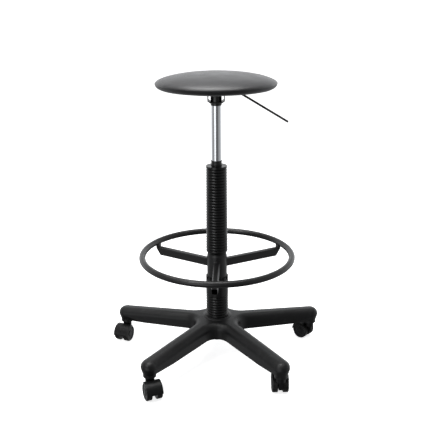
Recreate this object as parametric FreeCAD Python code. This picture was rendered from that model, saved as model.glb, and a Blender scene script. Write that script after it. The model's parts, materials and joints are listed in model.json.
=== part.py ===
import FreeCAD, Part
import math
import os

# Adjustable swivel stool: a round moulded seat on a gas lift, a footring round the column,
# and a five-arm moulded base on hooded twin-wheel castors.
# Millimetres. Z is up, the floor is z = 0 and the swivel axis is x = y = 0. The front is -Y.
# The seat is drawn fully raised, as a gas lift stands when nobody sits on it.

os.makedirs("parts", exist_ok=True)
V = FreeCAD.Vector
UP = V(0, 0, 1)
ALONG_Y = V(0, 1, 0)
O = V(0, 0, 0)

# Fits and gaps
run_fit = 0.05          # radial gap of a shaft that turns or slides in its bore
seat_fit = 0.05         # radial gap of a piece that is pushed home and stays
loose_fit = 0.6         # radial gap of a cover over a tube
face_gap = 0.4          # gap between faces that move past each other
bevel = 0.8             # small bevel on turned ends

# Castors
wheel_radius = 25.0
wheel_width = 16.0
wheel_gap = 14.0        # space between the two wheels of a castor
wheel_edge = 3.0        # rounding of the tread's corners
wheel_hub_radius = 9.5
wheel_dish = 1.6        # depth of the ring-shaped dish in the outer face
wheel_rim = 4.0         # flat ring left between the dish and the tread
axle_radius = 4.0
axle_in_wheel = 13.0
castor_trail = 23.0     # stem axis to axle axis
hood_over_wheel = 7.5   # hood's top above the treads
hood_boss_radius = 13.0
hood_boss_depth = 14.0
hood_wall = 2.0
hood_clearance = 0.8    # gap between a tread and the hood over it
hood_web_gap = 1.0      # gap between a wheel and the web beside it
hood_web_drop = 7.0     # lower edge of the web below the axle's line
hood_web_heel = 8.0     # the web's lower edge starts to rise this far behind the axle
hood_band_drop = 0.5    # lower edge of the band over the treads below the axle's line
hood_front_angle = 132.0
stem_radius = 5.5
stem_above_hood = 22.0
stem_in_hood = 10.0
stem_tip = 2.0
castor_headings = [-100.0, -112.0, -68.0, 91.0, 136.5]

# Base
arm_count = 5
first_arm_angle = 88.45
castor_circle = 306.0   # radius of the circle that the castor stems stand on
arm_half_width_tip = 24.0
arm_half_width_root = 27.0
arm_web_radius = 38.0   # inside round between two arms
arm_top_tip_rise = 48.5     # heights of the arms and the hub above the castors
arm_top_root_rise = 67.5
arm_under_tip_rise = 9.5
arm_under_root_rise = 21.5
arm_round = 19.0
arm_wall = 4.5
arm_rib = 3.0
arm_rib_count = 4
arm_rib_pitch = 46.0
arm_rib_lift = 4.0      # ribs stop short of the arm's lower edge
socket_boss_radius = 18.5
tip_taper_height = 18.0 # the arm's round tip narrows to the boss over this height
tip_taper_run = 70.0    # the narrowing fades out along the arm's sides over this length
socket_radius = 8.0
socket_flange_radius = 11.0
socket_flange = 1.6
socket_length = 26.0
hub_over_tube = 11.0    # hub's outside beyond the tube's
hub_bottom_rise = 0.5
hub_lip_wall = 2.5
hub_lip_height = 2.0
hub_lip_spread = 9.0
insert_ring_land = 3.5  # nylon left between the tube and the insert ring
insert_ring_wall = 4.0
insert_ring_height = 16.0

# Column sleeves
rib_pitch = 8.35
rib_depth = 2.4
lower_sleeve_over_tube = 8.0
lower_sleeve_ribs = 8
lower_sleeve_band = 54.2
crown_height = 8.0
crown_teeth = 12
crown_tooth_share = 0.6
upper_sleeve_ribs = 30
upper_sleeve_top_over_tube = 5.0
upper_sleeve_foot_over_tube = 6.75
upper_sleeve_cap = 3.0  # the sleeve's top stands this far above the tube
upper_sleeve_rim = 5.95 # upright rim of the flat top
upper_sleeve_brim = 2.4 # height of the slope that joins the last valley to the flat top's rim
upper_sleeve_neck_over_tube = 2.0
upper_sleeve_neck = 2.0
upper_sleeve_flare = 4.0

# Footring
footring_radius = 220.0
footring_tube_radius = 9.25
footring_tube_wall = 1.6
footring_rise = 26.0    # ring centreline above the spoke centreline
footring_hub_over_tube = 4.4
footring_hub_wall = 2.5
footring_hub_height = 79.0
footring_hub_neck_over_tube = 2.4
footring_hub_neck_wall = 1.8
footring_hub_shoulder = 6.5
liner_flange = 1.2
spoke_count = 3
first_spoke_angle = -92.0
spoke_drop = 33.0       # spoke centreline below the hub's top
spoke_width = 18.0
spoke_height = 25.0
spoke_wall = 1.6
spoke_round = 4.0
spoke_heel = 19.0       # spoke's lower corner inside the ring's centreline
spoke_end_angle = 55.0  # slope of the cut across the spoke's end
spoke_neck_inset = 11.0 # neck's inner face inside the ring's centreline
spoke_neck_width = 12.0
weld_gap = 0.05

# Column tube
tube_radius = 25.0
tube_wall = 2.0
tube_below_hub = 4.0
tube_floor = 4.0
tube_taper_length = 70.0
tube_taper_drop = 1.75  # radius lost along the taper
bush_nose_wall = 1.3
bush_lip = 0.4
bush_nose_height = 15.0
bush_length = 96.0

# Gas lift
cylinder_radius = 14.0
cylinder_wall = 2.0
cylinder_in_tube = 81.0
cylinder_exposed = 156.0
cylinder_taper = 30.0
cylinder_taper_drop = 0.4
cylinder_top_wall = 9.0
rod_radius = 5.0
rod_tail_radius = 4.0
rod_tail_end = 3.0
guide_height = 16.0
seal_height = 4.0
piston_above_seal = 6.0
piston_height = 14.0
piston_groove = 2.4
piston_groove_depth = 1.8
valve_height = 24.0
valve_stem_radius = 2.4
button_radius = 3.5
button_guide = 4.0
race_radius = 14.0
race_height = 2.0
ball_radius = 2.0
ball_count = 12
ball_circle = 9.5
cage_height = 1.4
cage_inner = 6.5
cage_outer = 12.5
bumper_height = 9.0
bumper_radius = 12.5
washer_height = 1.5
washer_radius = 11.0
clip_height = 1.5
clip_radius = 8.5

# Seat plate and lever
socket_wall = 1.4
socket_below = 8.0      # socket standing out below the bridge
socket_lead = 0.9
bridge_width = 48.0
bridge_length = 40.0
bridge_height = 38.5
bridge_corner_width = 8.0
bridge_corner_height = 5.5
bridge_foot = 14.0      # foot of the bridge that is welded to the plate, on each side
sheet_thickness = 2.5
plate_width = 150.0
plate_length = 130.0
plate_corner = 14.0
plate_hole_radius = 15.0
lever_radius = 3.0
lever_drop = 12.0       # lever centreline below the underside of the seat board
lever_inner_end = 4.0   # lever end beyond the swivel axis
lever_pivot = 28.2
lever_pin_radius = 1.6
lever_bend = 60.0
lever_bend_radius = 14.0
lever_slope = 31.0
lever_reach = 200.0
lever_slot = 9.5
lug_thickness = 2.0
lug_reach = 6.5
lug_height = 10.0

# Seat
seat_radius = 168.5
seat_foot_radius = 147.0
seat_crown = 28.5
seat_widest_rise = 12.75 # widest line above the board's underside
seat_skirt = 2.5        # foam hanging below the board's underside
seat_dome_power = 2.2   # roundness of the dome's plan-wise fall
seat_rim_power = 1.7    # roundness of its shoulder
board_radius = 130.0
board_thickness = 12.0
bolt_spacing_x = 110.0
bolt_spacing_y = 90.0
bolt_radius = 4.0
bolt_head_radius = 7.5
bolt_head_height = 5.5
bolt_washer_radius = 8.5
bolt_washer_height = 1.6
tee_barrel_radius = 5.2
tee_flange_radius = 10.0
tee_flange = 1.3

# Heights and radii that follow from the sizes above
castor_height = 2 * wheel_radius + hood_over_wheel
arm_top_tip = castor_height + arm_top_tip_rise
arm_top_root = castor_height + arm_top_root_rise
arm_under_tip = castor_height + arm_under_tip_rise
arm_under_root = castor_height + arm_under_root_rise
hub_bottom = castor_height + hub_bottom_rise
hub_radius = tube_radius + hub_over_tube
insert_ring_inner = tube_radius + insert_ring_land
insert_ring_outer = insert_ring_inner + insert_ring_wall
lower_sleeve_radius = tube_radius + lower_sleeve_over_tube
upper_sleeve_top_radius = tube_radius + upper_sleeve_top_over_tube
upper_sleeve_foot_radius = tube_radius + upper_sleeve_foot_over_tube
upper_sleeve_neck_radius = tube_radius + upper_sleeve_neck_over_tube
footring_hub_radius = tube_radius + footring_hub_over_tube
footring_hub_neck_radius = tube_radius + footring_hub_neck_over_tube
bush_nose_radius = cylinder_radius + bush_nose_wall
socket_outer_radius = cylinder_radius + socket_wall
boss_bottom = castor_height + face_gap
hub_top = arm_top_root
tube_bottom = hub_bottom - tube_below_hub
band_foot = hub_top + lower_sleeve_ribs * rib_pitch
hub_seat = band_foot + lower_sleeve_band
hub_end = hub_seat + footring_hub_height
sleeve_foot = hub_end + face_gap
sleeve_rib_foot = sleeve_foot + upper_sleeve_neck + upper_sleeve_flare
sleeve_brim_foot = sleeve_rib_foot + upper_sleeve_ribs * rib_pitch
sleeve_top = sleeve_brim_foot + upper_sleeve_brim + upper_sleeve_rim
tube_top = sleeve_top - upper_sleeve_cap
tube_bore = tube_radius - tube_wall
bush_top = sleeve_top + bush_nose_height
bush_foot = tube_top - bush_length
cylinder_bore = cylinder_radius - cylinder_wall
cylinder_bottom = tube_top - cylinder_in_tube
cylinder_mouth = bush_top + cylinder_exposed
cylinder_top = cylinder_mouth + cylinder_taper
bridge_bottom = cylinder_mouth + socket_below
flange_low = bridge_bottom + bridge_height
plate_top = flange_low + sheet_thickness
lever_level = plate_top - lever_drop
button_top = lever_level - lever_radius - face_gap
spoke_level = hub_end - spoke_drop
ring_level = spoke_level + footring_rise
sleeve_bore = tube_radius + loose_fit
race_foot = tube_bottom + tube_floor
ball_level = race_foot + race_height + run_fit + ball_radius
upper_race_foot = ball_level + ball_radius + run_fit
rod_shoulder = upper_race_foot + race_height
seal_foot = cylinder_bottom + guide_height
piston_foot = seal_foot + seal_height + piston_above_seal
piston_top = piston_foot + piston_height
valve_top = cylinder_top - cylinder_top_wall
board_top = plate_top + board_thickness


def disc(radius, low, high, x=0.0, y=0.0):
    """A cylinder on a vertical axis between two heights."""
    return Part.makeCylinder(radius, high - low, V(x, y, low), UP)


def ring(outer, inner, low, high):
    """A plain tube on the swivel axis."""
    return disc(outer, low, high).cut(disc(inner, low - 1, high + 1))


def cone(low_radius, high_radius, low, high):
    """A cone frustum on the swivel axis."""
    return Part.makeCone(low_radius, high_radius, high - low, V(0, 0, low), UP)


def block(x0, x1, y0, y1, z0, z1):
    """A box between two corners."""
    return Part.makeBox(x1 - x0, y1 - y0, z1 - z0, V(x0, y0, z0))


def polar(radius, angle, height=0.0):
    """A point at a radius and an angle in radians about the swivel axis."""
    return V(radius * math.cos(angle), radius * math.sin(angle), height)


def turned(shape, degrees):
    """A copy turned about the swivel axis."""
    copy = shape.copy()
    copy.rotate(O, UP, degrees)
    return copy


def moved(shape, place):
    """A copy carried to a new place."""
    copy = shape.copy()
    copy.translate(place)
    return copy


def path(points):
    """Straight edges through (radius, height) points in the XZ plane, left open."""
    corners = [V(r, 0, z) for r, z in points]
    return [Part.makeLine(a, b) for a, b in zip(corners, corners[1:])]


def lathe(points):
    """A solid turned round the swivel axis from a closed outline of (radius, height) points."""
    return Part.Face(Part.Wire(path(points + points[:1]))).revolve(O, UP, 360)


def rounded_bar(width, height, corner, start, end, level):
    """A bar along +X whose upright rectangular section has round corners."""
    half_y = width / 2
    half_z = height / 2
    bar = block(start, end, -half_y, half_y, level - half_z, level + half_z)
    long_edges = [e for e in bar.Edges if abs(e.tangentAt(0).x) > 0.9]
    return bar.makeFillet(corner, long_edges)


def joined(shapes):
    """One solid from pieces that touch."""
    return shapes[0].multiFuse(shapes[1:]).removeSplitter()


def save(name, shape):
    """Writes one piece, or one group of like pieces, to its file."""
    shape.exportStep("parts/" + name + ".step")


# Star base. Five hollow arms of glass-filled nylon round a deep hub, open underneath and ribbed.
def star(inset):
    """The base's plan, drawn in by inset all round: straight arms, round tips, round webs."""
    tip = arm_half_width_tip - inset
    root = arm_half_width_root - inset
    web = arm_web_radius + inset
    lean = math.asin((root - tip) / castor_circle)
    half = math.pi / arm_count
    reach = (root + web) / math.sin(half + lean)
    edges = []
    for k in range(arm_count):
        angle = math.radians(first_arm_angle) + 2 * half * k
        along = polar(1, angle)
        right = polar(1, angle - math.pi / 2 + lean)
        left = polar(1, angle + math.pi / 2 - lean)
        next_right = polar(1, angle + 2 * half - math.pi / 2 + lean)
        stem = along * castor_circle
        last_web = polar(reach, angle - half)
        next_web = polar(reach, angle + half)
        web_start = next_web - left * web
        web_middle = polar(reach - web, angle + half)
        web_end = next_web - next_right * web
        edges.append(Part.makeLine(last_web - right * web, stem + right * tip))
        edges.append(Part.Arc(stem + right * tip, stem + along * tip, stem + left * tip).toShape())
        edges.append(Part.makeLine(stem + left * tip, web_start))
        edges.append(Part.Arc(web_start, web_middle, web_end).toShape())
    return Part.Face(Part.Wire(edges))


arm_reach = castor_circle + 2 * arm_half_width_tip
arm_run = castor_circle - lower_sleeve_radius
top_slope = (arm_top_root - arm_top_tip) / arm_run
under_slope = (arm_under_root - arm_under_tip) / arm_run


def top_height(radius):
    """Height of the arms' ridge at a distance from the swivel axis."""
    return arm_top_root - top_slope * (radius - lower_sleeve_radius)


def under_height(radius):
    """Height of the arms' lower edge at a distance from the swivel axis."""
    return arm_under_root - under_slope * (radius - lower_sleeve_radius)


def arms(inset, lower, rounding):
    """The star between its sloping upper and lower faces, with its upper edges rounded over."""
    top = top_height(0) - inset
    top_end = top_height(arm_reach) - inset
    under = under_height(0) - lower
    under_end = under_height(arm_reach) - lower
    envelope = lathe([(0, under), (arm_reach, under_end), (arm_reach, top_end), (0, top)])
    prism = star(inset).extrude(UP * (2 * arm_top_root))
    body = prism.common(envelope)
    upper = []
    for edge in body.Edges:
        middle = edge.valueAt((edge.FirstParameter + edge.LastParameter) / 2)
        distance = math.hypot(middle.x, middle.y)
        if abs(middle.z - top_height(distance) + inset) < 0.2:
            upper.append(edge)
    return body.makeFillet(rounding, upper)


def tube_outside(extra):
    """The column tube's outer form, with its tapered foot, grown by extra."""
    foot = tube_radius - tube_taper_drop + extra
    taper_end = tube_bottom + tube_taper_length
    straight = disc(tube_radius + extra, taper_end, tube_top)
    return cone(foot, tube_radius + extra, tube_bottom, taper_end).fuse(straight)


# Each arm ends in a solid round tip round its socket, which narrows towards the boss below it.
tip_low = under_height(castor_circle + arm_half_width_tip)
tip_full = tip_low + tip_taper_height
tip_form = Part.makeCone(socket_boss_radius, arm_half_width_tip, tip_taper_height,
                         V(castor_circle, 0, tip_low), UP)
tip_form = tip_form.fuse(disc(arm_half_width_tip, tip_full, arm_top_tip, castor_circle))
tip_side = 2 * arm_half_width_tip
tip_waste = block(castor_circle, arm_reach, -tip_side, tip_side, boss_bottom - 1, tip_full)
tip_waste = tip_waste.cut(tip_form)


def wedge(corners):
    """A solid with four triangular faces between four corners."""
    faces = []
    for left_out in range(4):
        triangle = [c for j, c in enumerate(corners) if j != left_out]
        faces.append(Part.Face(Part.makePolygon(triangle + triangle[:1])))
    return Part.Solid(Part.Shell(faces))


side_waste = []
for side in (-1, 1):
    fade = castor_circle - tip_taper_run
    widening = (arm_half_width_root - arm_half_width_tip) / castor_circle * tip_taper_run
    side_waste.append(wedge([
        V(castor_circle, side * arm_half_width_tip, tip_full),
        V(castor_circle, side * socket_boss_radius, tip_low),
        V(castor_circle, side * tip_side, tip_low - tip_taper_height),
        V(fade, side * (arm_half_width_tip + widening), under_height(fade)),
    ]))
boss_form = disc(socket_boss_radius, boss_bottom, tip_full, castor_circle)
outer_arms = arms(0.0, 0.0, arm_round)
hollow = arms(arm_wall, 4 * arm_wall, arm_round - arm_wall)
tips = []
for k in range(arm_count):
    arm_angle = first_arm_angle + 360 / arm_count * k
    tips.append(turned(tip_form, arm_angle).common(outer_arms))
    tips.append(turned(boss_form, arm_angle))
shell = outer_arms.cut(hollow)
for k in range(arm_count):
    for waste in [tip_waste] + side_waste:
        shell = shell.cut(turned(waste, first_arm_angle + 360 / arm_count * k))
rib_blocks = []
for k in range(arm_count):
    arm_angle = first_arm_angle + 360 / arm_count * k
    low = boss_bottom
    high = arm_top_root
    spine = block(hub_radius - 1, castor_circle, -arm_rib / 2, arm_rib / 2, low, high)
    rib_blocks.append(turned(spine, arm_angle))
    for j in range(arm_rib_count):
        place = hub_radius + arm_rib_pitch * (j + 1)
        wide = arm_half_width_root
        rib = block(place, place + arm_rib, -wide, wide, low, high)
        rib_blocks.append(turned(rib, arm_angle))
ribs = rib_blocks[0].multiFuse(rib_blocks[1:])
ribs = ribs.common(arms(arm_wall / 2, -arm_rib_lift - arm_wall / 2, arm_round - arm_wall / 2))
lip_bore = lower_sleeve_radius + face_gap
lip_top = hub_top + hub_lip_height
lip_outer = lip_bore + hub_lip_wall
lip = lathe([
    (lip_bore - 1, hub_top - arm_wall),
    (lip_bore - 1, lip_top),
    (lip_outer, lip_top),
    (lip_outer + hub_lip_spread, top_height(lip_outer + hub_lip_spread) - 0.3),
    (lip_outer + hub_lip_spread, hub_top - arm_wall),
])
hub = disc(hub_radius, hub_bottom, hub_top)
star_base = joined([shell, ribs, hub, lip] + tips)
star_base = star_base.cut(disc(lip_bore, hub_top, lip_top + 5))
star_base = star_base.cut(tube_outside(seat_fit))
insert_top = hub_bottom + insert_ring_height
insert_pocket = ring(insert_ring_outer + seat_fit, insert_ring_inner - seat_fit, hub_bottom - 1,
                     insert_top)
star_base = star_base.cut(insert_pocket)
for k in range(arm_count):
    stem = polar(castor_circle, math.radians(first_arm_angle + 360 / arm_count * k))
    bore = disc(socket_radius + seat_fit, boss_bottom - 1, boss_bottom + socket_length, stem.x, stem.y)
    seat = disc(socket_flange_radius + seat_fit, boss_bottom - 1, boss_bottom + socket_flange,
                stem.x, stem.y)
    star_base = star_base.cut(bore).cut(seat)
save("star_base", star_base)

# Steel ring pressed into the foot of the hub, which keeps the tapered tube from splitting it.
save("hub_insert_ring", ring(insert_ring_outer, insert_ring_inner, hub_bottom, insert_top))

# Steel grip sockets pressed into the arm ends, one for each castor stem.
socket = disc(socket_radius, boss_bottom, boss_bottom + socket_length)
socket = socket.fuse(disc(socket_flange_radius, boss_bottom, boss_bottom + socket_flange))
socket = socket.cut(disc(stem_radius + run_fit, boss_bottom - 1, boss_bottom + socket_length + 1))
sockets = []
for k in range(arm_count):
    stem = polar(castor_circle, math.radians(first_arm_angle + 360 / arm_count * k))
    sockets.append(moved(socket, stem))
save("castor_sockets", Part.makeCompound(sockets))


# Castors. Each is drawn with its stem on the swivel axis and its wheels behind it along +X.
wheel_inner = wheel_gap / 2
wheel_outer = wheel_inner + wheel_width
web_half = wheel_inner - hood_web_gap
hood_inner = wheel_radius + hood_clearance
hood_outer = hood_inner + hood_wall
axle_half = wheel_inner + axle_in_wheel


def across(radius, half):
    """A cylinder on the axle's line, running from -half to half."""
    return Part.makeCylinder(radius, 2 * half, V(castor_trail, -half, wheel_radius), ALONG_Y)


def wheel():
    """The wheel on the +Y side: round-cornered tread, dished outer face and a centre cap."""
    far = wheel_outer
    dish_outer = wheel_radius - wheel_rim
    points = [
        (0, wheel_inner),
        (wheel_radius - wheel_edge / 3, wheel_inner),
        (wheel_radius, wheel_inner + wheel_edge / 3),
        (wheel_radius, far - wheel_edge),
        (wheel_radius - 0.3 * wheel_edge, far - 0.3 * wheel_edge),
        (wheel_radius - wheel_edge, far),
        (dish_outer, far),
        (dish_outer - wheel_dish, far - wheel_dish),
        (wheel_hub_radius + wheel_dish, far - wheel_dish),
        (wheel_hub_radius, far),
        (0, far),
    ]
    solid = lathe(points)
    solid = solid.cut(disc(axle_radius + run_fit, wheel_inner - 1, axle_half + face_gap))
    solid.rotate(O, V(1, 0, 0), -90)
    solid.translate(V(castor_trail, 0, wheel_radius))
    return solid


def hood():
    """Round boss for the stem, a web between the wheels and a band over both treads."""
    shell = across(hood_outer, wheel_outer).cut(across(hood_inner, wheel_outer + 1))
    web = across(hood_outer, web_half)
    lip_angle = math.degrees(math.asin(hood_band_drop / hood_outer))
    far = 3 * hood_outer
    wedge_points = []
    steps = 8
    for j in range(steps + 1):
        a = math.radians(-lip_angle + (hood_front_angle + lip_angle) * j / steps)
        wedge_points.append((castor_trail + far * math.cos(a), wheel_radius + far * math.sin(a)))
    wedge_points.append((castor_trail, wheel_radius))
    wedge = Part.Face(Part.Wire(path(wedge_points + wedge_points[:1])))
    wedge.translate(V(0, -wheel_outer, 0))
    band = shell.common(wedge.extrude(ALONG_Y * (2 * wheel_outer)))
    web_foot = wheel_radius - hood_web_drop
    heel = castor_trail + hood_web_heel
    under = [(-far, -far), (far, -far), (far, wheel_radius - hood_band_drop),
             (castor_trail + hood_outer, wheel_radius - hood_band_drop), (heel, web_foot), (-far, web_foot)]
    floor_cut = Part.Face(Part.Wire(path(under + under[:1])))
    floor_cut.translate(V(0, -far, 0))
    floor_cut = floor_cut.extrude(ALONG_Y * (2 * far))
    boss = disc(hood_boss_radius, castor_height - hood_boss_depth, castor_height)
    boss = boss.cut(across(hood_inner, wheel_outer + 1).cut(across(hood_inner + 1, web_half)))
    neck = block(-hood_boss_radius + 2, castor_trail, -web_half, web_half, wheel_radius,
                 castor_height - hood_wall)
    keep = disc(hood_boss_radius, 0, castor_height).fuse(across(hood_outer, wheel_outer))
    solid = joined([band, web.cut(floor_cut), boss, neck.common(keep)])
    stem_foot = castor_height - stem_in_hood
    solid = solid.cut(disc(stem_radius + seat_fit, stem_foot, castor_height + 1))
    return solid.cut(across(axle_radius + seat_fit, wheel_outer))


def stem():
    """Steel pin standing in the hood, turning in its socket, with a tapered tip."""
    foot = castor_height - stem_in_hood
    top = castor_height + stem_above_hood
    pin = disc(stem_radius, foot, top - stem_tip)
    tip = cone(stem_radius, stem_radius - stem_tip / 2, top - stem_tip, top)
    return pin.fuse(tip)


castor_pieces = {
    "hood": hood(),
    "stem": stem(),
    "axle": across(axle_radius, axle_half),
    "wheel_left": wheel(),
    "wheel_right": wheel().mirror(O, ALONG_Y),
}
for k in range(arm_count):
    stand = polar(castor_circle, math.radians(first_arm_angle + 360 / arm_count * k))
    for name, shape in castor_pieces.items():
        save("castor_%d_%s" % (k + 1, name), moved(turned(shape, castor_headings[k]), stand))


# Column tube. Steel tube with a tapered foot wedged in the hub and a welded floor.
inside = disc(tube_bore - tube_taper_drop, race_foot, tube_bottom + tube_taper_length)
inside = inside.fuse(disc(tube_bore, tube_bottom + tube_taper_length, tube_top + 1))
column_tube = tube_outside(0).cut(inside)
column_tube = column_tube.cut(disc(rod_tail_radius + face_gap, tube_bottom - 1, race_foot + 1))
save("column_tube", column_tube)

# Nylon guide bush in the top of the tube. Its nose is the short black collar round the cylinder.
lip_foot = bush_top - 2 * bush_lip
bush = lathe([
    (cylinder_radius + run_fit, bush_foot),
    (tube_bore - seat_fit - bevel, bush_foot),
    (tube_bore - seat_fit, bush_foot + bevel),
    (tube_bore - seat_fit, tube_top),
    (bush_nose_radius - bush_lip / 2, tube_top),
    (bush_nose_radius, lip_foot),
    (bush_nose_radius + bush_lip, lip_foot + bush_lip / 2),
    (bush_nose_radius + bush_lip, bush_top),
    (cylinder_radius + run_fit + bevel, bush_top),
    (cylinder_radius + run_fit, bush_top - bevel),
])
save("guide_bush", bush)


def ribbed(foot, count, foot_radius, top_radius):
    """Edges of a stack of round ribs, from the bottom up, on a wall that may taper."""
    edges = []
    for j in range(count):
        low = foot + j * rib_pitch
        crest = foot_radius + (top_radius - foot_radius) * (j + 0.5) / count
        valley_low = foot_radius + (top_radius - foot_radius) * j / count - rib_depth
        valley_high = foot_radius + (top_radius - foot_radius) * (j + 1) / count - rib_depth
        start = V(valley_low, 0, low)
        middle = V(crest, 0, low + rib_pitch / 2)
        end = V(valley_high, 0, low + rib_pitch)
        edges.append(Part.Arc(start, middle, end).toShape())
    return edges


# Upper sleeve. Moulded ribbed cover that hangs on the top of the tube and ends above the footring.
foot_valley = upper_sleeve_foot_radius - rib_depth
last_valley = upper_sleeve_top_radius - rib_depth
edges = path([
    (sleeve_bore, sleeve_foot),
    (upper_sleeve_neck_radius, sleeve_foot),
    (upper_sleeve_neck_radius, sleeve_foot + upper_sleeve_neck),
    (foot_valley, sleeve_rib_foot),
])
edges += ribbed(sleeve_rib_foot, upper_sleeve_ribs, upper_sleeve_foot_radius, upper_sleeve_top_radius)
edges += path([
    (last_valley, sleeve_brim_foot),
    (upper_sleeve_top_radius, sleeve_brim_foot + upper_sleeve_brim),
    (upper_sleeve_top_radius, sleeve_top),
    (bush_nose_radius + bush_lip + seat_fit, sleeve_top),
    (bush_nose_radius + bush_lip + seat_fit, tube_top + seat_fit),
    (sleeve_bore, tube_top + seat_fit),
    (sleeve_bore, sleeve_foot),
])
save("upper_sleeve", Part.Face(Part.Wire(edges)).revolve(O, UP, 360))

# Lower sleeve. Stands on the hub, carries the footring and has a toothed crown round its seat.
crown_bore = footring_hub_radius + face_gap
edges = path([
    (sleeve_bore, hub_top),
    (lower_sleeve_radius - rib_depth, hub_top),
])
edges += ribbed(hub_top, lower_sleeve_ribs, lower_sleeve_radius, lower_sleeve_radius)
edges += path([
    (lower_sleeve_radius - rib_depth, band_foot),
    (lower_sleeve_radius, band_foot + rib_depth),
    (lower_sleeve_radius, hub_seat + crown_height),
    (crown_bore, hub_seat + crown_height),
    (crown_bore, hub_seat),
    (sleeve_bore, hub_seat),
    (sleeve_bore, hub_top),
])
lower_sleeve = Part.Face(Part.Wire(edges)).revolve(O, UP, 360)
notch_step = 360 / crown_teeth
notch_width = 2 * math.pi * lower_sleeve_radius / crown_teeth * (1 - crown_tooth_share)
notch = block(tube_radius, lower_sleeve_radius + 5, -notch_width / 2, notch_width / 2,
              hub_seat, hub_seat + crown_height + 1)
for j in range(crown_teeth):
    lower_sleeve = lower_sleeve.cut(turned(notch, notch_step * j))
save("lower_sleeve", lower_sleeve)

# Footring: bent steel tube welded to three spokes, which are welded to a hub that turns.
whole_ring = Part.makeTorus(footring_radius, footring_tube_radius, V(0, 0, ring_level), UP)
ring_hollow = footring_tube_radius - footring_tube_wall
save("footring", whole_ring.cut(Part.makeTorus(footring_radius, ring_hollow, V(0, 0, ring_level), UP)))

hub_bore = footring_hub_radius - footring_hub_wall
shoulder = hub_end - footring_hub_shoulder
liner_foot = hub_seat + run_fit
hub_foot = liner_foot + liner_flange
save("footring_hub", lathe([
    (hub_bore, hub_foot),
    (footring_hub_radius, hub_foot),
    (footring_hub_radius, shoulder),
    (footring_hub_neck_radius, hub_end),
    (footring_hub_neck_radius - footring_hub_neck_wall, hub_end),
    (hub_bore, shoulder),
]))
save("footring_liner", lathe([
    (tube_radius + run_fit, liner_foot),
    (footring_hub_radius, liner_foot),
    (footring_hub_radius, hub_foot),
    (hub_bore - seat_fit, hub_foot),
    (hub_bore - seat_fit, shoulder),
    (tube_radius + run_fit, shoulder),
]))

bar_end = footring_radius + footring_tube_radius
bar = rounded_bar(spoke_width, spoke_height, spoke_round, tube_radius, bar_end, spoke_level)
hole = rounded_bar(spoke_width - 2 * spoke_wall, spoke_height - 2 * spoke_wall,
                   spoke_round - spoke_wall, tube_radius - 1, bar_end + 1, spoke_level)
bar_top = spoke_level + spoke_height / 2
bar_foot = spoke_level - spoke_height / 2
neck_top = ring_level - footring_tube_radius / 3
neck = block(footring_radius - spoke_neck_inset, bar_end, -spoke_neck_width / 2, spoke_neck_width / 2,
             bar_top - spoke_wall, neck_top)
spoke = joined([bar.cut(hole), neck])
heel = footring_radius - spoke_heel
end_run = (ring_level - bar_foot) / math.tan(math.radians(spoke_end_angle))
end_waste = Part.Face(Part.Wire(path([
    (heel, bar_foot), (heel + end_run, ring_level), (2 * bar_end, ring_level), (2 * bar_end, bar_foot - 1),
    (heel, bar_foot - 1), (heel, bar_foot),
])))
end_waste.translate(V(0, -spoke_width, 0))
spoke = spoke.cut(end_waste.extrude(ALONG_Y * (2 * spoke_width)))
spoke = spoke.cut(disc(footring_hub_radius + weld_gap, hub_seat, hub_end))
spoke = spoke.cut(Part.makeTorus(footring_radius, footring_tube_radius + weld_gap,
                                 V(0, 0, ring_level), UP))
spokes = [turned(spoke, first_spoke_angle + 360 / spoke_count * k) for k in range(spoke_count)]
save("footring_spokes", Part.makeCompound(spokes))


# Gas lift. The chromed cylinder slides in the bush and carries the seat on its tapered top.
def cylinder_outside(extra):
    """The cylinder's outer form, tapered at its top, grown by extra."""
    top = cylinder_radius - cylinder_taper_drop + extra
    straight = disc(cylinder_radius + extra, cylinder_bottom, cylinder_mouth)
    return straight.fuse(cone(cylinder_radius + extra, top, cylinder_mouth, cylinder_top))


lift_cylinder = cylinder_outside(0).cut(disc(cylinder_bore, cylinder_bottom - 1, valve_top))
lift_cylinder = lift_cylinder.cut(disc(button_radius + run_fit, valve_top - 1, cylinder_top + 1))
save("lift_cylinder", lift_cylinder)
save("valve_block", ring(cylinder_bore - seat_fit, valve_stem_radius + run_fit,
                         valve_top - valve_height, valve_top))
button_foot = cylinder_top - button_guide
release_pin = disc(button_radius, button_foot, button_top)
release_pin = release_pin.fuse(disc(valve_stem_radius, valve_top - valve_height / 2, button_foot))
save("release_pin", release_pin)
save("rod_guide", ring(cylinder_bore - seat_fit, rod_radius + run_fit, cylinder_bottom, seal_foot))
save("rod_seal", ring(cylinder_bore - seat_fit, rod_radius + run_fit, seal_foot,
                      seal_foot + seal_height))

# Piston rod. It stays down with the base, turns on the thrust bearing and carries the piston.
clip_top = tube_bottom - face_gap - washer_height
rod_foot = clip_top - clip_height - rod_tail_end
piston_rod = joined([
    disc(rod_tail_radius, rod_foot, rod_shoulder),
    disc(rod_radius, rod_shoulder, piston_foot),
    disc(rod_tail_radius, piston_foot, piston_top),
])
save("piston_rod", piston_rod)
groove_foot = piston_foot + (piston_height - piston_groove) / 2
piston_radius = cylinder_bore - run_fit
groove_radius = piston_radius - piston_groove_depth
piston = ring(piston_radius, rod_tail_radius + seat_fit, piston_foot, piston_top)
piston = piston.cut(ring(piston_radius + 1, groove_radius, groove_foot, groove_foot + piston_groove))
save("piston_head", piston)
save("piston_seal", ring(cylinder_bore - run_fit / 2, groove_radius + seat_fit,
                         groove_foot + seat_fit, groove_foot + piston_groove - seat_fit))
save("rubber_bumper", ring(bumper_radius, rod_radius + seat_fit, rod_shoulder,
                           rod_shoulder + bumper_height))

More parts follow.
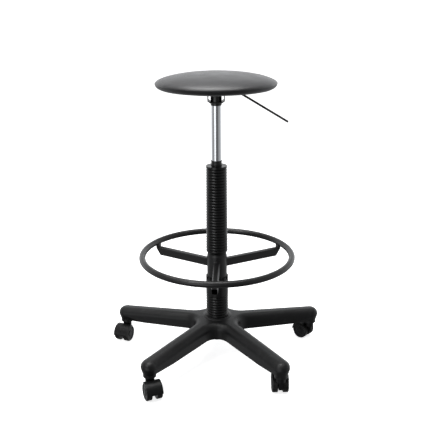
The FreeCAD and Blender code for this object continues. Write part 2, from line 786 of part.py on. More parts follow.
# Thrust bearing on the tube's floor, with the washer and clip that hold the rod down below it.
save("bearing_upper_race", ring(race_radius, rod_tail_radius + seat_fit, upper_race_foot,
                                rod_shoulder))
save("bearing_lower_race", ring(race_radius, rod_tail_radius + face_gap, race_foot,
                                race_foot + race_height))
cage = ring(cage_outer, cage_inner, ball_level - cage_height / 2, ball_level + cage_height / 2)
balls = []
for j in range(ball_count):
    place = polar(ball_circle, 2 * math.pi * j / ball_count, ball_level)
    balls.append(Part.makeSphere(ball_radius, place))
    cage = cage.cut(Part.makeSphere(ball_radius + seat_fit, place))
save("bearing_balls", Part.makeCompound([cage] + balls))
save("rod_washer", ring(washer_radius, rod_tail_radius + seat_fit, clip_top,
                        clip_top + washer_height))
clip = ring(clip_radius, rod_tail_radius + seat_fit, clip_top - clip_height, clip_top)
clip = clip.cut(block(0, clip_radius + 1, -rod_tail_radius / 2, rod_tail_radius / 2,
                      clip_top - clip_height - 1, clip_top + 1))
save("rod_clip", clip)

# Taper socket, welded into the seat plate, which wedges on the top of the cylinder.
socket = lathe([
    (0, cylinder_mouth),
    (socket_outer_radius - socket_lead, cylinder_mouth),
    (socket_outer_radius, cylinder_mouth + 3 * socket_lead),
    (socket_outer_radius, cylinder_top - face_gap),
    (0, cylinder_top - face_gap),
])
socket = socket.cut(cylinder_outside(seat_fit))
save("taper_socket", socket)

# Socket bridge: a bent steel strap that holds the socket and is welded under the seat plate.
half_in = bridge_width / 2
inner = half_in - sheet_thickness
floor_half = half_in - bridge_corner_width
inner_floor_half = floor_half - sheet_thickness / 3
wall_foot = bridge_bottom + bridge_corner_height
floor_top = bridge_bottom + sheet_thickness
foot_low = flange_low - sheet_thickness
foot_end = half_in + bridge_foot
half_section = [
    (floor_half, bridge_bottom), (half_in, wall_foot), (half_in, foot_low), (foot_end, foot_low),
    (foot_end, flange_low), (inner, flange_low), (inner, wall_foot + sheet_thickness / 2),
    (inner_floor_half, floor_top),
]
section = half_section + [(-x, z) for x, z in reversed(half_section)]
strap = Part.Face(Part.Wire(path(section + section[:1])))
strap.translate(V(0, -bridge_length / 2, 0))
bridge_parts = [strap.extrude(ALONG_Y * bridge_length)]
for side in (-1, 1):
    near = side * (lever_radius + face_gap)
    far = near + side * lug_thickness
    bridge_parts.append(block(half_in - 1, half_in + lug_reach, min(near, far), max(near, far),
                              lever_level - lug_height / 2, lever_level + lug_height / 2))
bridge = joined(bridge_parts)
bridge = bridge.cut(disc(socket_outer_radius + weld_gap, bridge_bottom - 1, floor_top + 1))
slot_half = lever_radius + face_gap
bridge = bridge.cut(block(inner - 1, half_in + 0.01, -slot_half, slot_half,
                          lever_level - lever_slot / 2, lever_level + lever_slot / 2))
lug_outside = lever_radius + face_gap + lug_thickness
pin_line = V(lever_pivot, -lug_outside, lever_level)
bridge = bridge.cut(Part.makeCylinder(lever_pin_radius + seat_fit, 2 * lug_outside, pin_line, ALONG_Y))
save("socket_bridge", bridge)

# Seat plate: a flat steel plate with round corners, bolted to the seat board at four places.
seat_plate = block(-plate_width / 2, plate_width / 2, -plate_length / 2, plate_length / 2,
                   flange_low, plate_top)
upright_edges = [e for e in seat_plate.Edges if abs(e.tangentAt(0).z) > 0.9]
seat_plate = seat_plate.makeFillet(plate_corner, upright_edges)
seat_plate = seat_plate.cut(disc(plate_hole_radius, flange_low - 1, plate_top + 1))
bolt_places = []
for x in (-bolt_spacing_x / 2, bolt_spacing_x / 2):
    for y in (-bolt_spacing_y / 2, bolt_spacing_y / 2):
        bolt_places.append((x, y))
for x, y in bolt_places:
    seat_plate = seat_plate.cut(disc(bolt_radius + 2 * seat_fit, flange_low - 1, plate_top + 1, x, y))
save("seat_plate", seat_plate)

# Release lever: a bent steel rod on a cross pin. Lifting its handle presses the button.
save("lever_pin", Part.makeCylinder(lever_pin_radius, 2 * lug_outside, pin_line, ALONG_Y))
slope = math.radians(lever_slope)
tangent = lever_bend_radius * math.tan(slope / 2)
bend_start = V(lever_bend - tangent, 0, lever_level)
bend_middle = V(bend_start.x + lever_bend_radius * math.sin(slope / 2), 0,
                lever_level - lever_bend_radius * (1 - math.cos(slope / 2)))
bend_end = V(lever_bend + tangent * math.cos(slope), 0, lever_level - tangent * math.sin(slope))
handle_end = V(lever_reach, 0, lever_level - (lever_reach - lever_bend) * math.tan(slope))
inner_end = V(-lever_inner_end, 0, lever_level)
line = Part.Wire([
    Part.makeLine(inner_end, bend_start),
    Part.Arc(bend_start, bend_middle, bend_end).toShape(),
    Part.makeLine(bend_end, handle_end),
])
round_section = Part.Wire(Part.makeCircle(lever_radius, inner_end, V(1, 0, 0)))
lever = line.makePipeShell([round_section], True, False)
lever = lever.cut(Part.makeCylinder(lever_pin_radius + run_fit, 2 * lug_outside, pin_line, ALONG_Y))
save("release_lever", lever)

# Seat board: a plywood disc in the seat's underside, with four tee nuts let into its top.
seat_board = disc(board_radius, plate_top, board_top)
tee_nuts = []
seat_bolts = []
bolt_washers = []
head_top = flange_low - bolt_washer_height
for x, y in bolt_places:
    seat_board = seat_board.cut(disc(tee_barrel_radius + seat_fit, plate_top - 1, board_top + 1, x, y))
    seat_board = seat_board.cut(disc(tee_flange_radius + seat_fit, board_top - tee_flange,
                                     board_top + 1, x, y))
    nut = disc(tee_barrel_radius, plate_top + 2, board_top, x, y)
    nut = nut.fuse(disc(tee_flange_radius, board_top - tee_flange, board_top, x, y))
    tee_nuts.append(nut.cut(disc(bolt_radius + seat_fit, plate_top, board_top + 1, x, y)))
    shank = disc(bolt_radius, head_top - bolt_head_height / 2, board_top - tee_flange, x, y)
    corners = []
    for j in range(7):
        corner = polar(bolt_head_radius, math.pi / 3 * j, head_top - bolt_head_height)
        corners.append(corner + V(x, y, 0))
    head = Part.Face(Part.makePolygon(corners)).extrude(UP * bolt_head_height)
    seat_bolts.append(head.fuse(shank))
    washer = disc(bolt_washer_radius, head_top, flange_low, x, y)
    bolt_washers.append(washer.cut(disc(bolt_radius + seat_fit, head_top - 1, flange_low + 1, x, y)))
save("seat_board", seat_board)
save("tee_nuts", Part.makeCompound(tee_nuts))
save("seat_bolts", Part.makeCompound(seat_bolts))
save("bolt_washers", Part.makeCompound(bolt_washers))

# Seat: integral-skin polyurethane, domed above its widest line and tucked in below it.
widest = plate_top + seat_widest_rise
pad_foot = plate_top - seat_skirt
seat_tuck = widest - pad_foot
crown_steps = 12
dome = []
for j in range(crown_steps + 1):
    a = math.pi / 2 * j / crown_steps
    reach = seat_radius * math.cos(a) ** (2 / seat_dome_power)
    rise = seat_crown * math.sin(a) ** (2 / seat_rim_power)
    dome.append(V(max(reach, 0), 0, widest + rise))
tuck = []
tuck_steps = 6
for j in range(tuck_steps + 1):
    a = math.pi / 2 * (1 - j / tuck_steps)
    tuck.append(V(seat_foot_radius + (seat_radius - seat_foot_radius) * math.cos(a), 0,
                  widest - seat_tuck * math.sin(a)))
dome_curve = Part.BSplineCurve()
dome_curve.interpolate(dome)
tuck_curve = Part.BSplineCurve()
tuck_curve.interpolate(tuck)
edges = path([(0, widest + seat_crown), (0, pad_foot), (seat_foot_radius, pad_foot)])
edges += [tuck_curve.toShape(), dome_curve.toShape()]
seat_pad = Part.Face(Part.Wire(Part.__sortEdges__(edges))).revolve(O, UP, 360)
seat_pad = seat_pad.cut(disc(board_radius + seat_fit, pad_foot - 1, board_top + seat_fit))
save("seat_pad", seat_pad)
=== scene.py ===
import json
import math
import bpy
from mathutils import Matrix, Vector


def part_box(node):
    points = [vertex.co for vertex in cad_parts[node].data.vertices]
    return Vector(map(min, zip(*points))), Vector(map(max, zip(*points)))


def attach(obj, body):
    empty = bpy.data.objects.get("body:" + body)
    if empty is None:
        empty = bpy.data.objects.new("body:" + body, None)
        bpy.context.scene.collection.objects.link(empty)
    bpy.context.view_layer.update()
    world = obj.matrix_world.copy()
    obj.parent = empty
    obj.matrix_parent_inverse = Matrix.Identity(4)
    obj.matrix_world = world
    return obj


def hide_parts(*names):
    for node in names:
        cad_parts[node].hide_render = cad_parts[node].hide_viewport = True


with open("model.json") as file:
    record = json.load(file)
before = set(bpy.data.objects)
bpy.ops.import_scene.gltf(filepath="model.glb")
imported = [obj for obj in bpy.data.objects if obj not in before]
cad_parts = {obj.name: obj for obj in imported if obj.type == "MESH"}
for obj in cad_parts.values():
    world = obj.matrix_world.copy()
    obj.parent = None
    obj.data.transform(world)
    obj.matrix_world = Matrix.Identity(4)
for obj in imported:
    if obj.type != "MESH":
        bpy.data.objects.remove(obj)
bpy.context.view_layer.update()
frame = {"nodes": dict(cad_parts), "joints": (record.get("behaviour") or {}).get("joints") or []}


# ---- Camera -------------------------------------------------------------------------------
# A camera on a tripod, a little above the seat and tipped down on the stool.

camera_distance = 1.956
camera_height = 1.071
camera_tilt = math.radians(72.18)
camera_roll = math.radians(-0.314)
camera_lens = 59.2       # on a sensor 36 mm wide
camera_shift = -0.0041

bpy.ops.object.camera_add(location=(0, -camera_distance, camera_height))
camera = bpy.context.object
camera.rotation_mode = "ZYX"
camera.rotation_euler = (camera_tilt, 0, camera_roll)
camera.data.sensor_width = 36
camera.data.lens = camera_lens
camera.data.shift_x = camera_shift
bpy.context.scene.camera = camera


# ---- Floor --------------------------------------------------------------------------------
# The studio's sweep: seamless white vinyl, lit from under as well as from above, so that it
# reads as clean paper white with only a soft shadow round the castors.

class Wire:
    """A socket of the node tree being made. Arithmetic on it adds Math nodes."""

    def __init__(self, tree, socket=None):
        self.tree = tree
        self.socket = socket

    def node(self, kind, settings, sockets, out=0):
        """Any other node: its settings, then the values or wires of its sockets."""
        made = self.tree.nodes.new(kind)
        for name, value in settings.items():
            setattr(made, name, value)
        for name, value in sockets.items():
            if isinstance(value, Wire):
                self.tree.links.new(value.socket, made.inputs[name])
            else:
                made.inputs[name].default_value = value
        return Wire(self.tree, made.outputs[out] if made.outputs else None)

    def maths(self, operation, first, second):
        return self.node("ShaderNodeMath", {"operation": operation}, {0: first, 1: second})

    def __add__(self, other):
        return self.maths("ADD", self, other)

    def __sub__(self, other):
        return self.maths("SUBTRACT", self, other)

    def __rsub__(self, other):
        return self.maths("SUBTRACT", other, self)

    def __mul__(self, other):
        return self.maths("MULTIPLY", self, other)

    __radd__ = __add__
    __rmul__ = __mul__

    def along(self, direction):
        """How far a point lies along a direction."""
        return self.node("ShaderNodeVectorMath", {"operation": "DOT_PRODUCT"},
                         {0: self, 1: direction}, out="Value")

    def off_axis(self):
        """How far a point lies from the stool's upright axis."""
        flat = self.node("ShaderNodeVectorMath", {"operation": "MULTIPLY"}, {0: self, 1: (1, 1, 0)})
        return self.node("ShaderNodeVectorMath", {"operation": "LENGTH"}, {0: flat}, out="Value")

    def ease(self, low, high):
        """A soft step from 0 at low to 1 at high."""
        return self.node("ShaderNodeMapRange", {"interpolation_type": "SMOOTHSTEP"},
                         {"Value": self, "From Min": low, "From Max": high})

    def colours(self, first, second):
        """A colour that goes from first to second as this goes from 0 to 1."""
        return self.node("ShaderNodeMix", {"data_type": "RGBA"}, {0: self, 6: first, 7: second}, out=2)

    def noise(self, scale, detail=2.0, stretch=(1, 1, 1)):
        """Cloudy noise with about so many blots to the metre."""
        place = self.node("ShaderNodeMapping", {}, {"Vector": self, "Scale": stretch})
        return self.node("ShaderNodeTexNoise", {}, {"Vector": place, "Scale": scale, "Detail": detail})

    def pebbles(self, scale, feature="F1"):
        """Round cells with about so many to the metre."""
        return self.node("ShaderNodeTexVoronoi", {"feature": feature}, {"Vector": self, "Scale": scale})

    def shade(self, colour, roughness, height=None, depth=0.0, steady=None):
        """Ends a finish in its shader. height is a relief of that depth, in metres."""
        sockets = {"Base Color": colour, "Roughness": roughness, **(steady or {})}
        if height is not None:
            sockets["Normal"] = self.node("ShaderNodeBump", {}, {"Height": height, "Distance": depth})
        shader = self.node("ShaderNodeBsdfPrincipled", {}, sockets)
        self.node("ShaderNodeOutputMaterial", {}, {"Surface": shader})


def new_finish(name):
    """An empty finish, and a wire for where a point lies on the stool, in metres."""
    finish = bpy.data.materials.new(name)
    finish.use_nodes = True
    finish.node_tree.nodes.clear()
    return finish, Wire(finish.node_tree).node("ShaderNodeTexCoord", {}, {}, out="Object")


floor_size = 160
vinyl_glow = 0.78

vinyl, where = new_finish("white_vinyl")
vinyl_tone = where.noise(3, 3).colours((0.84, 0.84, 0.84, 1), (0.88, 0.88, 0.88, 1))
where.shade(vinyl_tone, 0.9, where.noise(260, 3), 0.0002,
            {"Emission Color": (1, 1, 1, 1), "Emission Strength": vinyl_glow, "Specular IOR Level": 0.0})

bpy.ops.mesh.primitive_plane_add(size=floor_size, location=(0, 0, 0))
floor = bpy.context.object
floor.name = "floor"
floor.data.materials.append(vinyl)
floor.visible_glossy = False
floor.visible_diffuse = False


# ---- Lights -------------------------------------------------------------------------------
# A glowing white wall behind the stool, grey flats at its sides and a dark one in front of it,
# with a tall soft strip left of the camera that draws the streak down the chrome.

bpy.context.scene.view_settings.view_transform = "Standard"
strip_bearing = math.radians(29)         # left of the camera
strip_direction = (-math.sin(strip_bearing), -math.cos(strip_bearing), 0)
seen_glow = 1.10         # the wall's strength where the camera sees it bare
wall_glow = 1.35
wall_fade = 1.05         # how much of that is gone near the ceiling
floor_shade = 0.7        # how much of that is gone below the horizon
front_glow = 0.16
right_glow = 0.34
left_glow = 0.26
strip_glow = 1.9
ceiling_glow = 0.25

room = bpy.data.worlds.new("studio_room")
bpy.context.scene.world = room
room.use_nodes = True
room.node_tree.nodes.clear()
air = Wire(room.node_tree)
facing = air.node("ShaderNodeTexCoord", {}, {})
rise = facing.along((0, 0, 1))
below = facing.along((0, 0, -1)).ease(0.0, 0.35)
wall = facing.along((0, 1, 0)).ease(-0.05, 0.75)
right_flat = facing.along((1, 0, 0)).ease(0.50, 0.95)
left_flat = facing.along((-1, 0, 0)).ease(0.60, 0.95)
strip = facing.along(strip_direction).ease(0.90, 0.975)
wall_level = wall * (wall_glow - wall_fade * rise.ease(0.12, 0.75)) * (1 - floor_shade * below)
strength = (front_glow + wall_level + right_glow * right_flat + left_glow * left_flat
            + strip_glow * strip + ceiling_glow * rise.ease(0.5, 1.0))
seen = air.node("ShaderNodeLightPath", {}, {})
glow = strength + seen * (seen_glow - strength)
backdrop = air.node("ShaderNodeBackground", {}, {"Color": (0.97, 0.985, 1.0, 1), "Strength": glow})
air.node("ShaderNodeOutputWorld", {}, {"Surface": backdrop})


def lamp(name, place, aim, width, height, power):
    """A soft box of so many watts that faces a point on the stool."""
    bpy.ops.object.light_add(type="AREA", location=place)
    box = bpy.context.object
    box.name = name
    box.data.shape = "RECTANGLE"
    box.data.size = width
    box.data.size_y = height
    box.data.energy = power
    box.rotation_euler = (Vector(aim) - Vector(place)).to_track_quat("-Z", "Y").to_euler()


overhead_size = 1.5
overhead_power = 62
rim_size = 0.7
rim_power = 22
lamp("overhead_box", (-0.2, 0.1, 2.7), (0, 0, 0.4), overhead_size, overhead_size, overhead_power)
lamp("rim_box", (-1.3, -1.5, 2.3), (0, 0, 0.8), rim_size, rim_size, rim_power)


# ---- Star base ----------------------------------------------------------------------------
# The five-armed foot, one injection moulding in black glass-filled nylon. The tool's sparked
# grain leaves it satin, cloudy where the melt slowed, and rubbed where shoes meet the arms.

def coat(slot, finish):
    """Gives every CAD piece of one material slot its finish."""
    for piece in frame["nodes"].values():
        for place in piece.material_slots:
            if place.material.name == slot:
                place.material = finish


arm_count = 5
first_valley = math.radians(268.45)
seam_half = 0.0007
seam_reach = 0.030

arm_nylon, where = new_finish("sparked_nylon")
cloud = where.noise(16, 4)
grain = where.noise(1500, 2)
rubbed = where.off_axis().ease(0.13, 0.26) * where.noise(60, 6, (1, 1, 0.4)).ease(0.52, 0.72)
# Five mould seams run out along the valleys between the arms. Each is a groove in the bump, with painted
# shade along it as a darker colour.
seam_groove_and_shade = 0.0
for number in range(arm_count):
    turn = first_valley + 2 * math.pi / arm_count * number
    outwards = where.along((math.cos(turn), math.sin(turn), 0)).ease(seam_reach, seam_reach + 0.004)
    aside = where.along((-math.sin(turn), math.cos(turn), 0))
    near = 1 - aside.maths("ABSOLUTE", aside, 0).ease(0.4 * seam_half, seam_half)
    seam_groove_and_shade = near * outwards + seam_groove_and_shade
arm_tone = cloud.colours((0.0045, 0.0045, 0.0047, 1), (0.0075, 0.0075, 0.0078, 1))
worn_tone = rubbed.colours(arm_tone, (0.0150, 0.0150, 0.0155, 1))
# The seams' darker colour is painted shade in their grooves, not a different plastic.
where.shade(seam_groove_and_shade.colours(worn_tone, (0.0015, 0.0015, 0.0015, 1)),
            0.37 + 0.11 * cloud + 0.05 * rubbed + 0.25 * seam_groove_and_shade,
            grain + 0.5 * where.noise(420, 2) - 4.0 * seam_groove_and_shade, 0.00010, {"Specular IOR Level": 0.33})
coat("base_nylon", arm_nylon)


# ---- Castors ------------------------------------------------------------------------------
# Twin-wheel castors: a nylon hood on a zinced steel stem, and two hard nylon wheels that spin
# on a steel axle. The treads are dull with dust and floor marks, the hoods stay satin.

hood_nylon, where = new_finish("hood_nylon")
cloud = where.noise(55, 3)
marks = where.noise(240, 5, (1, 1, 3)).ease(0.58, 0.7)
hood_tone = cloud.colours((0.0045, 0.0045, 0.0048, 1), (0.0075, 0.0075, 0.0078, 1))
where.shade(marks.colours(hood_tone, (0.013, 0.013, 0.013, 1)), 0.32 + 0.14 * cloud,
            where.noise(1700, 2), 0.00006, {"Specular IOR Level": 0.24})
coat("castor_hood_nylon", hood_nylon)

castor_steel, where = new_finish("zinced_castor_steel")
spangle = where.noise(900, 3)
where.shade(spangle.colours((0.50, 0.51, 0.53, 1), (0.62, 0.63, 0.64, 1)), 0.26 + 0.16 * spangle,
            where.noise(300, 2, (1, 1, 9)), 0.00003, {"Metallic": 1.0})
coat("castor_steel", castor_steel)

castor_count = 5
tread_dust = 0.0018      # the dust starts this far in from the tread
lathe_pitch = 5200       # the face's turned rings, in radians to the metre
roll_axis = {joint["child"]: joint["axis"] for joint in frame["joints"] if joint["type"] == "hinge"}


def wheel_finish(body, wheel):
    """Dusty tread and clean, faintly ringed face, set out from one wheel's own centre."""
    low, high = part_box(wheel)
    centre = (low + high) / 2
    axis = Vector(roll_axis[body])
    radius = (high.z - low.z) / 2
    finish, where = new_finish(wheel + "_nylon")
    apart = where.node("ShaderNodeVectorMath", {"operation": "SUBTRACT"}, {0: where, 1: centre})
    out = apart.along(axis)
    flat = apart.node("ShaderNodeVectorMath", {"operation": "SCALE"}, {0: tuple(axis), "Scale": out})
    spoke = apart.node("ShaderNodeVectorMath", {"operation": "SUBTRACT"}, {0: apart, 1: flat})
    reach = spoke.node("ShaderNodeVectorMath", {"operation": "LENGTH"}, {0: spoke}, out="Value")
    dust = reach.ease(radius - tread_dust, radius) * where.noise(150, 5).ease(0.3, 0.75)
    rings = reach.maths("SINE", reach * lathe_pitch, 0)
    tone = where.noise(90, 3).colours((0.0045, 0.0045, 0.0048, 1), (0.0080, 0.0080, 0.0083, 1))
    where.shade(dust.colours(tone, (0.026, 0.025, 0.024, 1)), 0.36 + 0.26 * dust,
                0.3 * rings + where.noise(1300, 2), 0.00006, {"Specular IOR Level": 0.24})
    return finish


for number in range(1, castor_count + 1):
    for side in ("left", "right"):
        body = f"castor_{number}_{side}"
        wheel = f"castor_{number}_wheel_{side}"
        frame["nodes"][wheel].material_slots[0].material = wheel_finish(body, wheel)


# ---- Column tube and its bush -------------------------------------------------------------
# A drawn steel tube in black paint that is pressed into the hub, and the acetal bush inside
# its mouth that guides the gas lift.

tube_paint, where = new_finish("baked_black_paint")
peel = where.noise(700, 2)
mist = where.noise(40, 3)
where.shade(mist.colours((0.005, 0.005, 0.005, 1), (0.009, 0.009, 0.009, 1)), 0.28 + 0.14 * mist,
            peel, 0.00008, {"Specular IOR Level": 0.5})
coat("black_plate", tube_paint)

acetal, where = new_finish("black_acetal")
flow = where.noise(60, 3, (1, 1, 0.2))
where.shade(flow.colours((0.005, 0.005, 0.005, 1), (0.010, 0.010, 0.010, 1)), 0.30 + 0.1 * flow,
            where.noise(900, 2, (1, 1, 6)), 0.00003, {"Specular IOR Level": 0.45})
coat("nylon_bush", acetal)


# ---- Bearing, fasteners and sockets -------------------------------------------------------
# Bought-in steel: the thrust bearing, clip and washers, the bolts and tee nuts, the castor
# sockets. All are zinc plated, bright but mottled where the plating bath ran.

zinc, where = new_finish("mottled_zinc")
mottle = where.noise(350, 4)
patch = where.pebbles(500)
where.shade(mottle.colours((0.48, 0.49, 0.50, 1), (0.66, 0.67, 0.66, 1)), 0.24 + 0.22 * mottle,
            patch + where.noise(2200, 2), 0.00002, {"Metallic": 1.0})
coat("zinc_steel", zinc)


# ---- Ribbed sleeves -----------------------------------------------------------------------
# Two rigid polypropylene covers that slide over the tube, ringed like a bellows. The rings'
# crests shine from handling and the grooves between them hold a little dust.

sleeves_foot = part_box("lower_sleeve")[0].z
sleeves_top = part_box("upper_sleeve")[1].z
crest_at_foot = 0.0330
crest_at_top = 0.0300
groove_depth = 0.0024

sleeve_plastic, where = new_finish("ringed_polypropylene")
rise = where.along((0, 0, 1)).ease(sleeves_foot, sleeves_top)
crest = crest_at_foot - rise * (crest_at_foot - crest_at_top)
proud = (where.off_axis() - crest + groove_depth).ease(0.0, groove_depth)
dust = (1 - proud) * where.noise(120, 4).ease(0.35, 0.7)
streak = where.noise(130, 3, (1, 1, 0.06))
plastic_tone = streak.colours((0.0025, 0.0025, 0.0027, 1), (0.0045, 0.0045, 0.0047, 1))
where.shade(dust.colours(plastic_tone, (0.0050, 0.0050, 0.0049, 1)),
            0.24 + 0.08 * streak + 0.10 * dust,
            streak + 0.4 * where.noise(1100, 2), 0.00003, {"Specular IOR Level": 0.36})
coat("sleeve_plastic", sleeve_plastic)


# ---- Footring -----------------------------------------------------------------------------
# A bent steel tube on three box-section spokes, welded to a hub that turns on the column.
# The lot is powder coated black after welding: orange peel, and dull tracks from shoe soles.

ring_low, ring_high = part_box("footring")
ring_top = ring_high.z
sole_band = 0.004        # shoes dull this much of the tube's height, from its top
powder, where = new_finish("black_powder_coat")
peel = where.noise(620, 2)
mist = where.noise(30, 3)
soles = (where.along((0, 0, 1)).ease(ring_top - sole_band, ring_top)
         * where.noise(70, 6).ease(0.50, 0.70))
powder_tone = mist.colours((0.0080, 0.0080, 0.0083, 1), (0.0120, 0.0120, 0.0123, 1))
where.shade(soles.colours(powder_tone, (0.034, 0.033, 0.032, 1)), 0.30 + 0.12 * mist + 0.14 * soles,
            peel, 0.00010, {"Specular IOR Level": 0.42})
coat("footring_paint", powder)


# ---- Footring welds -----------------------------------------------------------------------
# Fillets of weld metal that join each spoke to the hub and each spoke's neck to the ring. They
# are laid as a row of overlapping drops, before the powder coat goes on over them.

hub_low, hub_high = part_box("footring_hub")
spokes_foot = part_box("footring_spokes")[0].z
hub_radius = (hub_high.x - hub_low.x) / 2
tube_radius = (ring_high.z - ring_low.z) / 2
ring_level = (ring_high.z + ring_low.z) / 2
ring_radius = (ring_high.x - ring_low.x) / 2 - tube_radius
spoke_count = 3
first_spoke = math.radians(-92)
spoke_half_width = 0.009
spoke_half_height = 0.0125
spoke_level = spokes_foot + spoke_half_height
neck_half_width = 0.006
squareness = 5           # how square the spoke's rounded section is
hub_drops = 60
neck_drops = 13
neck_arc = (math.radians(200), math.radians(298))
weld_sizes = {"spoke_hub_welds": 0.0017, "spoke_ring_welds": 0.0014}


def weld_bead(name, drops, size):
    """Drops of weld metal of one radius at the given places, run together into one skin."""
    bpy.ops.object.select_all(action="DESELECT")
    bpy.ops.mesh.primitive_ico_sphere_add(subdivisions=2, radius=size, location=drops[0])
    bead = bpy.context.object
    bead.name = name
    for place in drops[1:]:
        drop = bead.copy()
        drop.data = bead.data.copy()
        drop.location = place
        bpy.context.scene.collection.objects.link(drop)
        drop.select_set(True)
    bpy.ops.object.join()
    bpy.ops.object.transform_apply(location=True, rotation=True, scale=True)
    melt = bead.modifiers.new("melt", "REMESH")
    melt.mode = "VOXEL"
    melt.voxel_size = size / 4
    melt.use_smooth_shade = True
    bpy.ops.object.modifier_apply(modifier=melt.name)
    settle = bead.modifiers.new("settle", "SMOOTH")
    settle.iterations = 2
    bpy.ops.object.modifier_apply(modifier=settle.name)
    return bead


hub_places, neck_places = [], []
for number in range(spoke_count):
    spoke_turn = Matrix.Rotation(first_spoke + 2 * math.pi / spoke_count * number, 4, "Z")
    for drop in range(hub_drops):
        turn = 2 * math.pi * drop / hub_drops
        span = ((abs(math.cos(turn)) / spoke_half_width) ** squareness
                + (abs(math.sin(turn)) / spoke_half_height) ** squareness) ** (-1 / squareness)
        aside = span * math.cos(turn)
        hub_places.append(spoke_turn @ Vector((math.sqrt(hub_radius ** 2 - aside ** 2), aside,
                                               spoke_level + span * math.sin(turn))))
    for side in (-1, 1):
        for drop in range(neck_drops):
            turn = neck_arc[0] + (neck_arc[1] - neck_arc[0]) * drop / (neck_drops - 1)
            neck_places.append(spoke_turn @ Vector((ring_radius + tube_radius * math.cos(turn),
                                                    side * neck_half_width,
                                                    ring_level + tube_radius * math.sin(turn))))

for name, places in (("spoke_hub_welds", hub_places), ("spoke_ring_welds", neck_places)):
    bead = weld_bead(name, places, weld_sizes[name])
    bead.data.materials.append(powder)
    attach(bead, "footring")


# ---- Seat bracket welds -------------------------------------------------------------------
# The bent bracket is welded along its two feet to the seat plate, and round the tapered socket
# that comes up through its floor. Both runs are under the same black paint as the steel.

bridge_low, bridge_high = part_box("socket_bridge")
socket_low, socket_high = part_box("taper_socket")
socket_radius = (socket_high.x - socket_low.x) / 2
socket_drops = 64
foot_drops = 24
foot_inset = 0.0006      # the foot's bead sits this far below the plate
bracket_weld_size = 0.0013
bracket_places = []
for drop in range(socket_drops):
    turn = 2 * math.pi * drop / socket_drops
    bracket_places.append(Vector((socket_radius * math.cos(turn),
                                  socket_radius * math.sin(turn), bridge_low.z)))
for side in (bridge_low.x, bridge_high.x):
    for drop in range(foot_drops):
        share = (drop + 0.5) / foot_drops
        bracket_places.append(Vector((side, bridge_low.y + share * (bridge_high.y - bridge_low.y),
                                      bridge_high.z - foot_inset)))
bracket_bead = weld_bead("seat_bracket_welds", bracket_places, bracket_weld_size)
bracket_bead.data.materials.append(tube_paint)
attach(bracket_bead, "seat")


# ---- Gas lift -----------------------------------------------------------------------------
# The pressure cylinder slides in the bush: hard chrome on ground steel, with the faint rings
# that the grinding wheel left. Rod and pin are ground bare, the valve is turned aluminium.

chrome, where = new_finish("ground_chrome")
rings = where.noise(70, 3, (0.4, 0.4, 42))
smear = where.noise(35, 4)
where.shade(smear.colours((0.62, 0.63, 0.65, 1), (0.70, 0.71, 0.73, 1)), 0.13 + 0.10 * rings,
            rings, 0.000002, {"Metallic": 1.0})
coat("chrome", chrome)

ground_steel, where = new_finish("ground_steel")
rings = where.noise(90, 3, (0.4, 0.4, 40))
where.shade(rings.colours((0.50, 0.50, 0.51, 1), (0.62, 0.62, 0.63, 1)), 0.18 + 0.10 * rings,
            rings, 0.00001, {"Metallic": 1.0})
coat("ground_steel", ground_steel)

turned_alloy, where = new_finish("turned_alloy")
lathe = where.noise(160, 2, (0.3, 0.3, 30))
where.shade(lathe.colours((0.66, 0.66, 0.67, 1), (0.78, 0.78, 0.79, 1)), 0.30 + 0.12 * lathe,
            lathe, 0.00003, {"Metallic": 1.0})
coat("valve_alloy", turned_alloy)

rubber, where = new_finish("nitrile_rubber")
bloom = where.noise(200, 4)
where.shade(bloom.colours((0.016, 0.016, 0.016, 1), (0.030, 0.029, 0.028, 1)), 0.62 + 0.16 * bloom,
            where.noise(1500, 2), 0.00004, {"Specular IOR Level": 0.35})
coat("seal_rubber", rubber)


# ---- Release lever ------------------------------------------------------------------------
# A bent rod that pivots in the bridge and presses the valve's pin, in black lacquer over
# steel, worn a little brighter towards the end that the fingers lift.

lever_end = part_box("release_lever")[1].x
grip_length = 0.05
lever_lacquer, where = new_finish("lever_lacquer")
held = where.along((1, 0, 0)).ease(lever_end - grip_length, lever_end)
drawn = where.noise(160, 3, (0.1, 1, 1))
where.shade(held.colours((0.012, 0.012, 0.012, 1), (0.022, 0.021, 0.021, 1)),
            0.34 + 0.10 * drawn - 0.06 * held, drawn + where.noise(900, 2), 0.00005,
            {"Specular IOR Level": 0.5})
coat("lever_black", lever_lacquer)


# ---- Seat board ---------------------------------------------------------------------------
# A disc of nine-ply beech that the foam is moulded round, with tee nuts for the four bolts.
# The face grain runs one way, and the sawn edge shows the plies.

board_low, board_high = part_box("seat_board")
ply_count = 9
ply = (board_high.z - board_low.z) / ply_count
board_radius = (board_high.x - board_low.x) / 2

beech, where = new_finish("beech_ply")
figure = where.noise(28, 5, (0.12, 1, 1))
pores = where.noise(420, 3, (0.05, 1, 1)).ease(0.55, 0.75)
face = figure.colours((0.50, 0.33, 0.19, 1), (0.62, 0.45, 0.29, 1))
layer = where.maths("SINE", where.along((0, 0, math.pi / ply)), 0).ease(-0.2, 0.2)
edge = layer.colours((0.36, 0.23, 0.13, 1), (0.58, 0.42, 0.27, 1))
at_edge = where.off_axis().ease(board_radius - 0.0006, board_radius - 0.0002)
wood = at_edge.colours(face, edge)
where.shade(pores.colours(wood, (0.28, 0.17, 0.09, 1)), 0.55 + 0.15 * figure, pores + figure, 0.0001,
            {"Specular IOR Level": 0.3})
coat("plywood", beech)


# ---- Seat pad -----------------------------------------------------------------------------
# Self-skinning polyurethane foam, moulded as one domed cushion round the board. Its skin is
# tight, with a fine leather grain, and a flash line runs round the widest part.

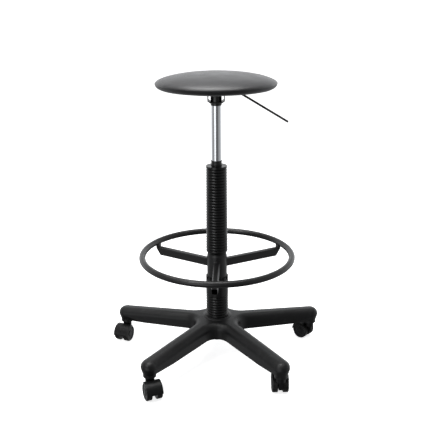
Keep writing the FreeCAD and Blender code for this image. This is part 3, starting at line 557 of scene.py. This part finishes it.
pad_low, pad_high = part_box("seat_pad")
pad_radius = (pad_high.x - pad_low.x) / 2
pad_top = pad_high.z
pad_foot = pad_low.z
foot_radius = 0.147
widest_rise = 0.01275    # the widest part above the board's underside
pocket_gap = 0.0003
lip = 0.0012             # rounding of the pad's lower corners
flash = 0.0003           # how far the flash line stands proud
flash_shoulder = 2.2     # half the line's height at its foot, in flashes
flash_face = 0.8         # and at its face
dome_power = 2.2
shoulder_power = 1.7
pad_sides = 144
dome_steps = 30
tuck_steps = 9
wave_length = 0.06
wave_height = 0.0010
polished_band = 0.02     # the crown's polish reaches this far down

widest = board_low.z + widest_rise
tuck = widest - pad_foot
crown = pad_top - widest
pocket_radius = board_radius + pocket_gap
pocket_roof = board_high.z + pocket_gap
stations = [(pocket_radius - lip, pocket_roof), (pocket_radius, pocket_roof - lip),
            (pocket_radius, pad_foot + lip), (pocket_radius + 0.3 * lip, pad_foot + 0.3 * lip),
            (pocket_radius + lip, pad_foot), (foot_radius - lip, pad_foot)]
for step in range(tuck_steps):
    turn = math.pi / 2 * step / tuck_steps
    stations.append((foot_radius + (pad_radius - flash - foot_radius) * math.sin(turn),
                     widest - tuck * math.cos(turn)))
stations += [(pad_radius - flash, widest - flash_shoulder * flash),
             (pad_radius, widest - flash_face * flash),
             (pad_radius, widest + flash_face * flash),
             (pad_radius - flash, widest + flash_shoulder * flash)]
for step in range(2, dome_steps):
    turn = math.pi / 2 * step / dome_steps
    stations.append(((pad_radius - flash) * math.cos(turn) ** (2 / dome_power),
                     widest + crown * math.sin(turn) ** (2 / shoulder_power)))


def lathe_form(name, rings, top, sides):
    """A turned form, as on a lathe: a disc whose edge is drawn out through rings of so much
    radius and height, and closed in a point at the top."""
    bpy.ops.object.select_all(action="DESELECT")
    radius, height = rings[0]
    bpy.ops.mesh.primitive_circle_add(vertices=sides, radius=radius, fill_type="TRIFAN",
                                      location=(0, 0, height))
    form = bpy.context.object
    form.name = name
    bpy.ops.object.transform_apply(location=True, rotation=True, scale=True)
    bpy.ops.object.mode_set(mode="EDIT")
    bpy.ops.mesh.select_mode(type="EDGE")
    bpy.ops.mesh.select_all(action="DESELECT")
    bpy.ops.mesh.select_non_manifold()
    for next_radius, next_height in rings[1:]:
        bpy.ops.mesh.extrude_region_move(TRANSFORM_OT_translate={"value": (0, 0, next_height - height)})
        share = next_radius / radius
        bpy.ops.transform.resize(value=(share, share, 1), center_override=(0, 0, next_height))
        radius, height = next_radius, next_height
    bpy.ops.mesh.extrude_region_move(TRANSFORM_OT_translate={"value": (0, 0, top - height)})
    bpy.ops.mesh.merge(type="CENTER")
    bpy.ops.mesh.select_all(action="SELECT")
    bpy.ops.mesh.normals_make_consistent(inside=False)
    bpy.ops.object.mode_set(mode="OBJECT")
    return form


pad = lathe_form("seat_cushion", stations, pad_top, pad_sides)
rounding = pad.modifiers.new("rounding", "SUBSURF")
rounding.levels = rounding.render_levels = 1
bpy.ops.object.modifier_apply(modifier=rounding.name)

foam_wave = bpy.data.textures.new("foam_wave", "CLOUDS")
foam_wave.noise_scale = wave_length
swell = pad.modifiers.new("swell", "DISPLACE")
swell.texture = foam_wave
swell.strength = wave_height
swell.mid_level = 0.5
bpy.ops.object.modifier_apply(modifier=swell.name)
bpy.ops.object.shade_smooth_by_angle(angle=math.radians(50))

skin, where = new_finish("grained_foam_skin")
leather = where.pebbles(640, "SMOOTH_F1")
crease = where.pebbles(260, "DISTANCE_TO_EDGE").ease(0.0, 0.12)
haze = where.noise(11, 4)
crown_band = where.along((0, 0, 1)).ease(pad_top - polished_band, pad_top)
polish = crown_band * where.noise(24, 3).ease(0.4, 0.7)
skin_tone = haze.colours((0.0090, 0.0085, 0.0094, 1), (0.0135, 0.0128, 0.0140, 1))
where.shade(skin_tone, 0.36 + 0.08 * haze - 0.05 * polish, leather + 0.6 * crease, 0.00014,
            {"Specular IOR Level": 0.5, "Sheen Weight": 0.05, "Sheen Roughness": 0.5})
pad.data.materials.append(skin)

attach(pad, "seat")
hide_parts("seat_pad")
